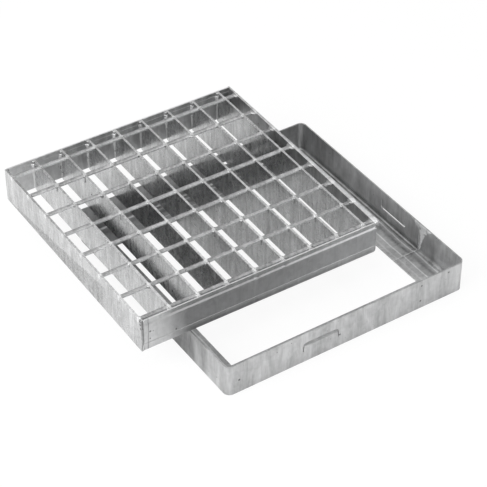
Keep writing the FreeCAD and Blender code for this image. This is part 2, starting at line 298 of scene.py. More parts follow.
# %% [markdown]
# ## Worn and lit edges
#
# Handling rubs the zinc along every edge, and the brightening there is also a painted highlight,
# where a rounded edge would catch the light. The Bevel node gives the direction that a rounded
# edge would face, and where that differs from the flat face's own direction an edge is near. The
# group turns the difference into a mask.

# %% Worn and lit edges group
FLAT_FACE = 0.999
SHARP_EDGE = 0.85


def make_worn_and_lit_edges():
    tree, inputs, outputs = new_group("worn_and_lit_edges", [
        ("Reach", "NodeSocketFloat", 0.0012),
    ], ["Edge"])
    rounded = add_node(tree, "ShaderNodeBevel", {"samples": 6}, Radius=inputs.outputs["Reach"])
    flat = tree.nodes.new("ShaderNodeNewGeometry")
    angle = add_node(tree, "ShaderNodeVectorMath", {"operation": "DOT_PRODUCT"})
    tree.links.new(rounded.outputs["Normal"], angle.inputs[0])
    tree.links.new(flat.outputs["Normal"], angle.inputs[1])
    edge = remap(tree, angle.outputs["Value"], FLAT_FACE, SHARP_EDGE)
    tree.links.new(edge, outputs.inputs["Edge"])
    return tree


worn_and_lit_edges = make_worn_and_lit_edges()
print("group:", worn_and_lit_edges.name)

# %% [markdown]
# ## Painted highlights on the crossings
#
# Each crossing was pressed and welded, and the zinc over the weld froze thick. Its bright spot is
# a painted highlight on that lump. The spots repeat with the bars, so the group folds a place on
# the panel into one bay by taking the distance to the nearest bar and the nearest cross bar. A
# little noise keeps them from being perfect discs. The same folding finds the cross bars, which
# are duller than the flat bars, and whose tops get painted shade and whose sides painted light.

# %% Crossing spots group
SPOT_RAGGED = 0.009
SPOT_CORE = 0.45
SPOT_DEPTHS = (14.0, 6.0)
CROSS_TOP_DEPTHS = (2.4, 0.2)
CROSS_MARGIN = 0.4
BAR_MARGIN = 1.0


def nearest(tree, value, first, pitch):
    # the distance from value to the nearest of the places first, first + pitch, and so on
    steps = calculate(tree, "DIVIDE", calculate(tree, "SUBTRACT", value, first), pitch)
    whole = calculate(tree, "ROUND", steps)
    apart = calculate(tree, "ABSOLUTE", calculate(tree, "SUBTRACT", steps, whole))
    return calculate(tree, "MULTIPLY", apart, pitch)


def make_crossing_spots():
    tree, inputs, outputs = new_group("crossing_spots", [
        ("Position", "NodeSocketVector", (0.0, 0.0, 0.0)),
        ("First Across", "NodeSocketFloat", FIRST_BAR * MILLIMETRE),
        ("Pitch Across", "NodeSocketFloat", BAR_PITCH * MILLIMETRE),
        ("Reach", "NodeSocketFloat", 0.0065),
    ], ["Spot", "Cross Bar", "Cross Top"])
    position = inputs.outputs["Position"]
    local = add_node(tree, "ShaderNodeMapping", {"vector_type": "TEXTURE"}, Vector=position,
                     Location=lay_on_rim.translation * MILLIMETRE,
                     Rotation=(0.0, 0.0, PANEL_TURN))
    place = add_node(tree, "ShaderNodeSeparateXYZ", Vector=local.outputs["Vector"])
    across = nearest(tree, place.outputs["X"], inputs.outputs["First Across"],
                     inputs.outputs["Pitch Across"])
    along = nearest(tree, place.outputs["Y"], FIRST_CROSS * MILLIMETRE, CROSS_PITCH * MILLIMETRE)
    away = add_node(tree, "ShaderNodeVectorMath", {"operation": "LENGTH"},
                    Vector=add_node(tree, "ShaderNodeCombineXYZ", X=across, Y=along).outputs[0])
    ragged = add_node(tree, "ShaderNodeTexNoise", Vector=position, Scale=260.0, Detail=2.0)
    shift = calculate(tree, "MULTIPLY", calculate(tree, "SUBTRACT", ragged.outputs["Fac"], 0.5),
                      SPOT_RAGGED)
    away = calculate(tree, "ADD", away.outputs["Value"], shift)
    core = calculate(tree, "MULTIPLY", inputs.outputs["Reach"], SPOT_CORE)
    spot = remap(tree, away, inputs.outputs["Reach"], core)
    near_top = remap(tree, place.outputs["Z"], (panel_depth - SPOT_DEPTHS[0]) * MILLIMETRE,
                     (panel_depth - SPOT_DEPTHS[1]) * MILLIMETRE)
    tree.links.new(calculate(tree, "MULTIPLY", spot, near_top), outputs.inputs["Spot"])
    on_cross = remap(tree, along, (CROSS_SIDE / 2 + CROSS_MARGIN) * MILLIMETRE,
                     CROSS_SIDE / 2 * MILLIMETRE)
    between = remap(tree, across, BAR_THICKNESS / 2 * MILLIMETRE,
                    (BAR_THICKNESS / 2 + BAR_MARGIN) * MILLIMETRE)
    cross_bar = calculate(tree, "MULTIPLY", calculate(tree, "MULTIPLY", on_cross, near_top),
                          between)
    upper = remap(tree, place.outputs["Z"], (panel_depth - CROSS_TOP_DEPTHS[0]) * MILLIMETRE,
                  (panel_depth - CROSS_TOP_DEPTHS[1]) * MILLIMETRE)
    tree.links.new(cross_bar, outputs.inputs["Cross Bar"])
    tree.links.new(calculate(tree, "MULTIPLY", cross_bar, upper), outputs.inputs["Cross Top"])
    return tree


crossing_spots = make_crossing_spots()
print("group:", crossing_spots.name)

# %% [markdown]
# ## Painted light on the tops
#
# The narrow tops of the panel's bars and bands get a painted light, so they are a little brighter
# than their sides. The group marks the last millimetre or so below the top.

# %% Painted light tops group
TOP_LIGHT_STARTS = 0.0016
TOP_LIGHT_FULL = 0.0003


def make_painted_light_tops():
    tree, inputs, outputs = new_group("painted_light_tops", [
        ("Position", "NodeSocketVector", (0.0, 0.0, 0.0)),
    ], ["Top"])
    place = add_node(tree, "ShaderNodeSeparateXYZ", Vector=inputs.outputs["Position"])
    highest = (panel_base + panel_depth) * MILLIMETRE
    top = remap(tree, place.outputs["Z"], highest - TOP_LIGHT_STARTS, highest - TOP_LIGHT_FULL)
    tree.links.new(top, outputs.inputs["Top"])
    return tree


painted_light_tops = make_painted_light_tops()
print("group:", painted_light_tops.name)

# %% [markdown]
# ## An upright line near the corner
#
# The front band is a plate welded to a short bent piece of the left bar, and the dressed weld
# between them shows as a thin, speckled line that leans a little.

# %% Upright line group
LINE_FOOT = 13.2
LINE_LEAN = 0.037
LINE_WIDTH = 0.0036
LINE_CORE = 0.3


def make_upright_line():
    tree, inputs, outputs = new_group("upright_line", [
        ("Position", "NodeSocketVector", (0.0, 0.0, 0.0)),
    ], ["Line"])
    position = inputs.outputs["Position"]
    local = add_node(tree, "ShaderNodeMapping", {"vector_type": "TEXTURE"}, Vector=position,
                     Location=lay_on_rim.translation * MILLIMETRE,
                     Rotation=(0.0, 0.0, PANEL_TURN))
    place = add_node(tree, "ShaderNodeSeparateXYZ", Vector=local.outputs["Vector"])
    middle = calculate(tree, "ADD", calculate(tree, "MULTIPLY", place.outputs["Z"], LINE_LEAN),
                       LINE_FOOT * MILLIMETRE)
    apart = calculate(tree, "ABSOLUTE", calculate(tree, "SUBTRACT", place.outputs["X"], middle))
    speckle = add_node(tree, "ShaderNodeTexNoise", Vector=position, Scale=320.0, Detail=2.0)
    wide = calculate(tree, "MULTIPLY", speckle.outputs["Fac"], LINE_WIDTH)
    line = remap(tree, apart, wide, calculate(tree, "MULTIPLY", wide, LINE_CORE))
    tree.links.new(line, outputs.inputs["Line"])
    return tree


upright_line = make_upright_line()
print("group:", upright_line.name)

# %% [markdown]
# ## Lines along the ledge
#
# The frame's angle was rolled, and the rolls left shallow steps along its ledge that show as
# pale and dark lines. Part of their light and dark is painted: the pale line 17.5 mm in is a
# painted highlight on the rounded root of the angle, and the dark line 9.5 mm in is painted shade
# in that root. They follow the sides, so the group measures the distance inwards from the frame's
# outer face, and they fade out towards the back left corner. Where the angle was cut and welded,
# on the right side, the two ends don't meet exactly, and the lines jump by a few millimetres.

# %% Ledge lines group
FRAME_HALF = 300.0
LEDGE_TOP = 3.0
SEAM_ALONG = -148.0
BEAD_ALONG = -152.0
BEAD_SHARE = 0.2
BEAD_HALF = 3.5
BEAD_CORE = 1.0
LINE_JUMP = 2.6
LINE_WANDER = 0.006
LINES_GONE = -155.0
LINES_FULL = -125.0
ABOVE_GONE = 6.0
ABOVE_FULL = 1.0
# the first pale line is partly a painted highlight, the first dark line partly painted shade
# each line: its distance inwards and its half width in millimetres, and its strength
PALE_LINES = ((17.5, 3.6, 1.0), (45.5, 3.0, 0.75), (61.0, 3.5, 0.3))
DARK_LINES = ((9.5, 4.0, 0.9), (28.0, 7.5, 0.8))


def make_ledge_lines_and_shading():
    tree, inputs, outputs = new_group("ledge_lines_and_shading", [
        ("Position", "NodeSocketVector", (0.0, 0.0, 0.0)),
    ], ["Pale", "Dark"])
    place = add_node(tree, "ShaderNodeSeparateXYZ", Vector=inputs.outputs["Position"])
    reach = calculate(tree, "MAXIMUM", calculate(tree, "ABSOLUTE", place.outputs["X"]),
                      calculate(tree, "ABSOLUTE", place.outputs["Y"]))
    inwards = calculate(tree, "SUBTRACT", FRAME_HALF * MILLIMETRE, reach)
    wander = add_node(tree, "ShaderNodeTexNoise", Vector=inputs.outputs["Position"],
                      Scale=12.0, Detail=3.0)
    shift = calculate(tree, "MULTIPLY", calculate(tree, "SUBTRACT", wander.outputs["Fac"], 0.5),
                      LINE_WANDER)
    right = calculate(tree, "GREATER_THAN", place.outputs["X"], 0.0)
    before = calculate(tree, "LESS_THAN", place.outputs["Y"], SEAM_ALONG * MILLIMETRE)
    jump = calculate(tree, "MULTIPLY", calculate(tree, "MULTIPLY", right, before),
                     LINE_JUMP * MILLIMETRE)
    from_seam = calculate(tree, "ABSOLUTE",
                          calculate(tree, "SUBTRACT", place.outputs["Y"], BEAD_ALONG * MILLIMETRE))
    bead = calculate(tree, "MULTIPLY", right,
                     remap(tree, from_seam, BEAD_HALF * MILLIMETRE, BEAD_CORE * MILLIMETRE,
                           0.0, BEAD_SHARE))
    inwards = calculate(tree, "ADD", calculate(tree, "ADD", inwards, shift), jump)
    on_ledge = remap(tree, place.outputs["Z"], (LEDGE_TOP + ABOVE_GONE) * MILLIMETRE,
                     (LEDGE_TOP + ABOVE_FULL) * MILLIMETRE)
    front = calculate(tree, "LESS_THAN", place.outputs["Y"], 0.0)
    fade = remap(tree, place.outputs["X"], LINES_GONE * MILLIMETRE, LINES_FULL * MILLIMETRE)
    shown = calculate(tree, "MULTIPLY", on_ledge, calculate(tree, "MAXIMUM", front, fade))
    for label, lines, total in (("Pale", PALE_LINES, 0.0), ("Dark", DARK_LINES, bead)):
        for middle, half, share in lines:
            apart = calculate(tree, "ABSOLUTE",
                              calculate(tree, "SUBTRACT", inwards, middle * MILLIMETRE))
            line = remap(tree, apart, half * MILLIMETRE, 0.0, 0.0, share)
            total = calculate(tree, "ADD", line, total)
        tree.links.new(calculate(tree, "MULTIPLY", total, shown), outputs.inputs[label])
    return tree


ledge_lines_and_shading = make_ledge_lines_and_shading()
print("group:", ledge_lines_and_shading.name)

# %% [markdown]
# ## Soft patches
#
# Some faces change their shade slowly, and these changes are painted light and shade. The front
# band gets a painted reflection that makes it paler towards its right end, and painted shade at
# its foot. The frame's left wall gets painted shade towards the panel, and the ledge inside it a
# painted shadow. One group gives a soft mask that rises from nought to one between two places,
# along each of the three axes. Each patch below lists its two places along x, y and z, and then
# how much it changes the shade.

# %% Soft patch group


def make_soft_patch():
    tree, inputs, outputs = new_group("soft_patch", [
        ("Position", "NodeSocketVector", (0.0, 0.0, 0.0)),
        ("Start", "NodeSocketVector", (0.0, 0.0, 0.0)),
        ("Full", "NodeSocketVector", (1.0, 1.0, 1.0)),
    ], ["Patch"])
    place = add_node(tree, "ShaderNodeSeparateXYZ", Vector=inputs.outputs["Position"])
    start = add_node(tree, "ShaderNodeSeparateXYZ", Vector=inputs.outputs["Start"])
    full = add_node(tree, "ShaderNodeSeparateXYZ", Vector=inputs.outputs["Full"])
    rises = [remap(tree, place.outputs[axis], start.outputs[axis], full.outputs[axis])
             for axis in "XYZ"]
    patch = calculate(tree, "MULTIPLY", rises[0], rises[1])
    patch = calculate(tree, "MULTIPLY", patch, rises[2])
    tree.links.new(patch, outputs.inputs["Patch"])
    return tree


# both places are far outside the part, so the mask is full all along that axis
EVERYWHERE = (-10.0, -9.0)
soft_patch = make_soft_patch()
# painted reflection on the band's right end, painted shade at its foot, on the wall and the ledge
painted_reflection_end = ((-0.18, 0.19), EVERYWHERE, EVERYWHERE, 0.7)
painted_shade_foot = ((-0.34, -0.28), EVERYWHERE, (0.0925, 0.0835), -0.4)
painted_shade_wall = ((-0.298, -0.2995), (-0.25, -0.18), EVERYWHERE, -0.35)
painted_shadow_ledge = ((-0.222, -0.236), (0.0, 0.08), (0.012, 0.005), -0.3)
print("group:", soft_patch.name)

# %% [markdown]
# ## Single marks
#
# A few dark pits are large enough to be seen one by one, and they sit at known places. Each is
# a soft round mask about a point, so one group serves them all, with the place and the size as
# its inputs. The tables below end each row with the mark's radius in millimetres.

# %% Single mark group
MARK_CORE = 0.4


def make_single_mark():
    tree, inputs, outputs = new_group("single_mark", [
        ("Position", "NodeSocketVector", (0.0, 0.0, 0.0)),
        ("Centre", "NodeSocketVector", (0.0, 0.0, 0.0)),
        ("Radius", "NodeSocketFloat", 0.003),
    ], ["Mark"])
    apart = add_node(tree, "ShaderNodeVectorMath", {"operation": "DISTANCE"})
    tree.links.new(inputs.outputs["Position"], apart.inputs[0])
    tree.links.new(inputs.outputs["Centre"], apart.inputs[1])
    radius = inputs.outputs["Radius"]
    core = calculate(tree, "MULTIPLY", radius, MARK_CORE)
    mark = remap(tree, apart.outputs["Value"], radius, core)
    tree.links.new(mark, outputs.inputs["Mark"])
    return tree


single_mark = make_single_mark()
print("group:", single_mark.name)

# %% Where the marks are
frame_marks = [(Vector((x, y, z)) * MILLIMETRE, radius * MILLIMETRE) for x, y, z, radius in
               ((-271.2, -300.0, 33.2, 3.4), (256.5, -300.0, 65.1, 3.0),
                (185.3, -300.0, 61.5, 2.8), (184.6, -300.0, 20.1, 3.0),
                (-24.3, -300.0, 30.4, 3.4), (297.0, -133.0, 68.4, 3.6),
                (297.0, -145.1, 71.7, 3.2), (297.0, -154.0, 56.3, 2.8))]
band_marks = [(on_panel(across, 0.8, up), radius * MILLIMETRE) for across, up, radius in
              ((19.2, 47.7, 3.4), (18.5, 29.2, 2.4), (78.7, 25.0, 3.0), (26.0, 46.0, 1.8),
               (82.0, 74.0, 2.0))]
corner_marks = [(on_panel(0.0, along, up), radius * MILLIMETRE) for along, up, radius in
                ((7.0, 79.0, 5.5), (6.0, 70.0, 4.0), (5.0, 60.0, 3.5))]
print("single marks:", len(frame_marks) + len(band_marks) + len(corner_marks))

# %% [markdown]
# ## The zinc finish
#
# All the pieces were dipped, so one function mixes the groups into a material, and each kind of
# piece gives it its own tone, gloss and strength of streaks. Zinc is a metal, so the base colour
# is the tone of its reflection. Every mask adds to the shade or takes from it, by the strengths
# that are listed first, and some change the gloss and the height as well.

# %% How strong each mask is
EDGE_SHADE = 0.1
PIT_SHADE = -0.6
TOP_PAINTED_LIGHT = 0.35
SPOT_PAINTED_HIGHLIGHT = 0.42
# painted light on the round cross bars and painted shade on their tops, which flatten how they are
# lit
CROSS_BAR_PAINTED_LIGHT = 0.6
CROSS_TOP_PAINTED_SHADE = -1.15
UPRIGHT_LINE_SHADE = -0.4
PALE_LINE_SHADE = 0.75
DARK_LINE_SHADE = -0.4

STREAK_GLOSS = 0.08
CRYSTAL_GLOSS = 0.06
PIT_GLOSS = 0.3

GRAIN_HEIGHT = 0.25
RUN_HEIGHT = 2.0
SPOT_HEIGHT = 2.5
BUMP_DISTANCE = 0.0006
COOL_TINT = (1.0, 1.005, 1.01)
print("tint of the zinc:", COOL_TINT)

# %% The zinc finish


def zinc_finish(name, tone, gloss, streaks=0.55, crystals=0.06, runs=0.3, relief=0.35,
                clean=0.74, metal=1.0, tops=True, spots=None, cross_dulling_and_shade=0.0, lines=False,
                seam=False, marks=(), patches=()):
    material = bpy.data.materials.new(name)
    material.use_nodes = True
    tree = material.node_tree
    shader = tree.nodes["Principled BSDF"]
    position = tree.nodes.new("ShaderNodeTexCoord").outputs["Object"]
    dip = place_group(tree, dip_streaks, Position=position)
    zinc = place_group(tree, zinc_crystals, Position=position)
    pit = place_group(tree, pits, Position=position, Share_Left_Clean=clean).outputs["Pit"]
    for place, radius in marks:
        mark = place_group(tree, single_mark, Position=position, Centre=place, Radius=radius)
        pit = calculate(tree, "MAXIMUM", pit, mark.outputs["Mark"])
    # edges get worn zinc and a painted highlight
    edge = place_group(tree, worn_and_lit_edges).outputs["Edge"]
    streak = calculate(tree, "SUBTRACT", dip.outputs["Streak"], 0.5)
    run = calculate(tree, "SUBTRACT", dip.outputs["Run"], 0.5)
    crystal = calculate(tree, "SUBTRACT", zinc.outputs["Crystal"], 0.5)
    # these three now reach half a unit either way, so their strengths are doubled
    effects = [(streak, 2.0 * streaks), (run, 2.0 * runs), (crystal, 2.0 * crystals),
               (edge, EDGE_SHADE), (pit, PIT_SHADE)]
    height = calculate(tree, "ADD", dip.outputs["Streak"],
                       calculate(tree, "MULTIPLY", zinc.outputs["Grain"], GRAIN_HEIGHT))
    height = calculate(tree, "ADD", height,
                       calculate(tree, "MULTIPLY", dip.outputs["Run"], RUN_HEIGHT))
    rough = calculate(tree, "ADD", calculate(tree, "MULTIPLY", streak, STREAK_GLOSS), gloss)
    if tops:
        # painted light on the tops of the bars and bands
        top = place_group(tree, painted_light_tops, Position=position).outputs["Top"]
        effects.append((top, TOP_PAINTED_LIGHT))
    if spots:
        bars = place_group(tree, crossing_spots, Position=position, **spots)
        spot = bars.outputs["Spot"]
        # painted highlight on each crossing weld; the bump below is its real relief
        effects.append((spot, SPOT_PAINTED_HIGHLIGHT))
        height = calculate(tree, "ADD", height, calculate(tree, "MULTIPLY", spot, SPOT_HEIGHT))
    if cross_dulling_and_shade:
        # painted light on the cross bars' sides and painted shade on their tops; the roughness
        # below is real dulling
        effects += [(bars.outputs["Cross Bar"], CROSS_BAR_PAINTED_LIGHT),
                    (bars.outputs["Cross Top"], CROSS_TOP_PAINTED_SHADE)]
        dulling = calculate(tree, "MULTIPLY", bars.outputs["Cross Bar"], cross_dulling_and_shade)
        rough = calculate(tree, "ADD", rough, dulling)
    if seam:
        line = place_group(tree, upright_line, Position=position).outputs["Line"]
        effects.append((line, UPRIGHT_LINE_SHADE))
    for across, along, up, strength in patches:
        start, full = zip(across, along, up)
        patch = place_group(tree, soft_patch, Position=position, Start=start, Full=full)
        effects.append((patch.outputs["Patch"], strength))
    if lines:
        # ledge lines: roll marks, with a painted highlight and painted shade at the root
        ledge = place_group(tree, ledge_lines_and_shading, Position=position)
        effects += [(ledge.outputs["Pale"], PALE_LINE_SHADE),
                    (ledge.outputs["Dark"], DARK_LINE_SHADE)]
    shade = 1.0
    for mask, strength in effects:
        shade = calculate(tree, "ADD", calculate(tree, "MULTIPLY", mask, strength), shade)
    colour = add_node(tree, "ShaderNodeVectorMath", {"operation": "SCALE"}, Scale=shade)
    colour.inputs[0].default_value = [tone * share for share in COOL_TINT]
    tree.links.new(colour.outputs[0], shader.inputs["Base Color"])
    rough = calculate(tree, "ADD", rough, calculate(tree, "MULTIPLY", crystal, CRYSTAL_GLOSS))
    rough = calculate(tree, "ADD", rough, calculate(tree, "MULTIPLY", pit, PIT_GLOSS))
    tree.links.new(rough, shader.inputs["Roughness"])
    shader.inputs["Metallic"].default_value = metal
    bump = add_node(tree, "ShaderNodeBump", Height=height, Strength=relief,
                    Distance=BUMP_DISTANCE)
    tree.links.new(bump.outputs["Normal"], shader.inputs["Normal"])
    return material


# %% [markdown]
# ## A finish for each kind of piece
#
# The bars are the glossiest, and their spots follow the crossings. The bands and the frame are
# duller, and the welds are the dullest. Some weld is part oxide, so its metal share is less.

# %% The finishes
SPOT_INSET = 4.0
HEAD_MIDDLE = (head_side(PANEL_ALONG / 2) + SPOT_INSET) * MILLIMETRE
# the edge bar has only one row of spots, so the next row is put ten metres away
NO_REPEAT = 10.0

bar_zinc = zinc_finish("galvanised_bar", 0.51, 0.27, streaks=0.7, runs=0.3, relief=0.02,
                       spots={"Reach": 0.0065}, cross_dulling_and_shade=0.38, marks=corner_marks)
head_zinc = zinc_finish("galvanised_edge_bar", 0.56, 0.40,
                        spots={"First_Across": HEAD_MIDDLE, "Pitch_Across": NO_REPEAT,
                               "Reach": 0.011})
band_zinc = zinc_finish("galvanised_band", 0.50, 0.34, streaks=0.2, runs=0.22, relief=0.25,
                        seam=True, marks=band_marks, patches=(painted_reflection_end, painted_shade_foot))
back_zinc = zinc_finish("galvanised_back_band", 0.62, 0.36, streaks=0.3, runs=0.35)
frame_zinc = zinc_finish("galvanised_frame", 0.49, 0.40, streaks=0.38, runs=0.45, tops=False,
                         lines=True, marks=frame_marks, patches=(painted_shade_wall, painted_shadow_ledge))
weld_zinc = zinc_finish("galvanised_weld", 0.38, 0.48, streaks=0.2, runs=0.2, relief=0.8,
                        clean=0.68, tops=False)
seam_zinc = zinc_finish("galvanised_seam", 0.62, 0.46, streaks=0.5, runs=0.6, relief=1.0,
                        clean=0.62, metal=0.5, tops=False)
dull_zinc = zinc_finish("dull_weld", 0.34, 0.55, streaks=0.8, runs=0.5, relief=1.0, clean=0.66,
                        metal=0.6, tops=False)
print("materials:", [material.name for material in bpy.data.materials])

# %% [markdown]
# ## A narrower ledge on the left
#
# The frame's left ledge is narrower than the right one, so a slice of floor shows beside the
# second row of bars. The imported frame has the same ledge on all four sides. A geometry node
# group takes the extra strip off with a box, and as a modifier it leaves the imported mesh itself
# as it is.

# %% Ledge cutter
LEFT_LEDGE_EDGE = -244.0
PACKED_LEDGE_EDGE = -230.0
CUT_ROOM = 1.0


def make_ledge_cutter():
    tree = bpy.data.node_groups.new("narrow_left_ledge", "GeometryNodeTree")
    for label, direction in (("Frame", "INPUT"), ("Cut Frame", "OUTPUT")):
        tree.interface.new_socket(label, in_out=direction, socket_type="NodeSocketGeometry")
    given = tree.nodes.new("NodeGroupInput")
    result = tree.nodes.new("NodeGroupOutput")
    low = Vector((LEFT_LEDGE_EDGE, PACKED_LEDGE_EDGE, -CUT_ROOM)) * MILLIMETRE
    high = Vector((PACKED_LEDGE_EDGE + CUT_ROOM, -PACKED_LEDGE_EDGE, LEDGE_TOP + CUT_ROOM))
    high = high * MILLIMETRE
    box = add_node(tree, "GeometryNodeMeshCube", Size=high - low)
    placed = add_node(tree, "GeometryNodeTransform", Geometry=box.outputs["Mesh"],
                      Translation=(low + high) / 2)
    cut = tree.nodes.new("GeometryNodeMeshBoolean")
    cut.operation = "DIFFERENCE"
    cut.solver = "EXACT"
    tree.links.new(given.outputs["Frame"], cut.inputs["Mesh 1"])
    tree.links.new(placed.outputs["Geometry"], cut.inputs["Mesh 2"])
    tree.links.new(cut.outputs["Mesh"], result.inputs["Cut Frame"])
    return tree


ledge_cutter = make_ledge_cutter()
print("cutter:", ledge_cutter.name)

# %% [markdown]
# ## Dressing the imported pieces
#
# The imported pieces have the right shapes, so they stay and get their finish. Their edges are
# perfectly sharp, which no rolled or sawn steel is. A Weld modifier joins the loose corners of
# the imported mesh, and a narrow Bevel modifier breaks the edges, so that they catch the light.

# %% Finish the nodes
CORNER_REACH = 0.00001
BREAK_ANGLE = math.radians(40)
BREAK_STEPS = 2
# for each node its finish, and how wide its edges are broken in millimetres
FINISHES = {
    "bar_grid": (bar_zinc, 0.5),
    "front_band": (band_zinc, 0.4),
    "back_band": (back_zinc, 0.4),
    "right_edge_bar": (head_zinc, 0.6),
    "seating_frame": (frame_zinc, 0.5),
}


def dress(node, material, edge_width):
    node.data.materials.clear()
    node.data.materials.append(material)
    join = node.modifiers.new("join_corners", "WELD")
    join.merge_threshold = CORNER_REACH
    if node.name == "seating_frame":
        node.modifiers.new("narrow_left_ledge", "NODES").node_group = ledge_cutter
    broken = node.modifiers.new("broken_edges", "BEVEL")
    broken.width = edge_width * MILLIMETRE
    broken.segments = BREAK_STEPS
    broken.limit_method = "ANGLE"
    broken.angle_limit = BREAK_ANGLE
    broken.harden_normals = True


for node_name, (material, edge_width) in FINISHES.items():
    dress(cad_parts[node_name], material, edge_width)
print("dressed:", sorted(FINISHES))

# %% [markdown]
# ## Skins made of rings
#
# The welds have no drawing. They are lumps that ran and froze, so each is built as a stack of
# closed rings whose points are pushed in and out by a noise function of their own place. One
# function stitches a stack into a closed skin, and another turns the finished skins into a
# piece that rides on the part.

# %% Ring helpers


def add_skin(shape, rings):
    loops = [[shape.verts.new(point) for point in ring] for ring in rings]
    count = len(loops[0])
    for lower, upper in zip(loops, loops[1:]):
        for here in range(count):
            there = (here + 1) % count
            shape.faces.new((lower[here], lower[there], upper[there], upper[here]))
    shape.faces.new(list(reversed(loops[0])))
    shape.faces.new(loops[-1])


def finish_piece(name, shape, material):
    bmesh.ops.recalc_face_normals(shape, faces=shape.faces)
    mesh = bpy.data.meshes.new(name)
    shape.to_mesh(mesh)
    shape.free()
    mesh.shade_smooth()
    mesh.materials.append(material)
    piece = bpy.data.objects.new(name, mesh)
    scene.collection.objects.link(piece)
    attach(piece, "root")
    print(name, "faces:", len(mesh.polygons))
    return piece


def bumpy(point, scale, amount):
    # a share near 1 that wanders from place to place
    return 1.0 + amount * noise.noise(Vector(point) * scale)


def wander(height, swing, x, y, pace):
    # millimetres that come and go with the height, and x and y pick a part of the noise
    return swing * noise.noise(Vector((x, y, height * pace)))


# %% [markdown]
# ## Collars at the crossings
#
# Where a cross bar was pressed into a bearing bar, a little metal welled up and filled the four
# corners between them. Seen from above each collar is a rounded diamond, so its outline comes
# from one formula with a power: 1 gives a diamond, 2 gives an ellipse.

# %% Collar shape
COLLAR_SIDES = 22
# each level: its depth below the top in millimetres, and its share of the full width
COLLAR_LEVELS = ((0.2, 0.42), (0.5, 0.66), (1.3, 0.88), (2.8, 1.0), (4.8, 0.97), (6.8, 0.78),
                 (8.6, 0.5), (9.6, 0.2))
COLLAR_WAVE = (0.31, 0.45)
COLLAR_CIRCLE = 3.0
EDGE_ROOM = 0.4


def outer_side(along):
    # the panel's right side, which leans inwards towards the back
    return HEAD_SIDE_FRONT + HEAD_WIDTH - HEAD_LEAN * along / PANEL_ALONG


def keep_inside(across, along):
    across = min(max(across, EDGE_ROOM), outer_side(along) - EDGE_ROOM)
    return across, min(max(along, EDGE_ROOM), PANEL_ALONG - EDGE_ROOM)


def add_collar(shape, across, along, reach_across, reach_along, power=1.3, deeper=1.0, top=0.0):
    rings = []
    for depth, share in COLLAR_LEVELS:
        ring = []
        up = panel_depth - top - depth * deeper
        for side in range(COLLAR_SIDES):
            angle = 2.0 * math.pi * side / COLLAR_SIDES
            turn_across = math.cos(angle)
            turn_along = math.sin(angle)
            radius = share * ((abs(turn_across) / reach_across) ** power
                              + (abs(turn_along) / reach_along) ** power) ** (-1.0 / power)
            radius *= bumpy((across + COLLAR_CIRCLE * turn_across,
                             along + COLLAR_CIRCLE * turn_along, up), *COLLAR_WAVE)
            place = keep_inside(across + radius * turn_across, along + radius * turn_along)
            ring.append(on_panel(*place, up))
        rings.append(ring)
    add_skin(shape, rings)


print("rings in a collar:", len(COLLAR_LEVELS))

# %% Crossing collars
COLLAR_SEED = 11
COLLAR_SIZES = (0.85, 1.2)
COLLAR_ACROSS = 6.6
COLLAR_ALONG = 8.2
SHIFTS_ACROSS = (-1.0, 0.3)
SHIFTS_ALONG = (-1.4, 0.4)
COLLAR_POWERS = (1.15, 1.5)


def make_crossing_collars():
    rng = random.Random(COLLAR_SEED)
    shape = bmesh.new()
    for across in bar_places:
        for along in cross_places:
            size = rng.uniform(*COLLAR_SIZES)
            middle_across = across + rng.uniform(*SHIFTS_ACROSS)
            middle_along = along + rng.uniform(*SHIFTS_ALONG)
            add_collar(shape, middle_across, middle_along, COLLAR_ACROSS * size,
                       COLLAR_ALONG * size, rng.uniform(*COLLAR_POWERS),
                       rng.uniform(*COLLAR_SIZES))
    return finish_piece("crossing_collars", shape, weld_zinc)


crossing_collars = make_crossing_collars()

# %% [markdown]
# ## Runs below the crossings
#
# At some crossings the zinc ran a little way down the bearing bar before it froze. Each run is
# a narrow tear that is widest near its lower end.

# %% Zinc runs
# each level: its share of the way down, and its share of the full radius
RUN_LEVELS = ((0.0, 0.5), (0.15, 0.75), (0.4, 0.6), (0.65, 0.7), (0.85, 1.0), (0.95, 0.8),
              (1.0, 0.3))
RUN_SIDES = 10
RUN_SEED = 5
RUN_CHANCE = 0.45
RUN_LENGTHS = (6.0, 15.0)
RUN_RADII = (0.9, 1.6)
RUN_PLACES = (-6.5, -4.5)
RUN_START = 4.0


def make_zinc_runs():
    rng = random.Random(RUN_SEED)
    shape = bmesh.new()
    for across in bar_places[1:]:
        for along in cross_places:
            if rng.random() > RUN_CHANCE:
                continue
            length = rng.uniform(*RUN_LENGTHS)
            radius = rng.uniform(*RUN_RADII)
            side = across - BAR_THICKNESS / 2
            middle = along + rng.uniform(*RUN_PLACES)
            rings = []
            for share, width in RUN_LEVELS:
                up = panel_depth - RUN_START - share * length
                angles = [2.0 * math.pi * number / RUN_SIDES for number in range(RUN_SIDES)]
                rings.append([on_panel(side + radius * width * math.cos(angle),
                                       middle + radius * width * math.sin(angle), up)
                              for angle in angles])
            add_skin(shape, rings)
    return finish_piece("zinc_runs", shape, weld_zinc)


zinc_runs = make_zinc_runs()

# %% [markdown]
# ## Welds at the right edge
#
# Every cross bar ends at the head of the right edge bar and is welded to it with a thick,
# forked lump. The lumps round off the corners of the narrow slots. A tab of weld also runs down
# the end of the front band at the corner.

# %% Right edge welds
EDGE_SEED = 23
EDGE_SHIFTS_ACROSS = (-2.0, 0.0)
EDGE_SHIFTS_ALONG = (-1.0, 1.0)
EDGE_REACHES_ACROSS = (9.5, 12.0)
EDGE_REACHES_ALONG = (11.0, 14.0)
EDGE_POWERS = (0.85, 1.05)
EDGE_DEEPER = 0.9


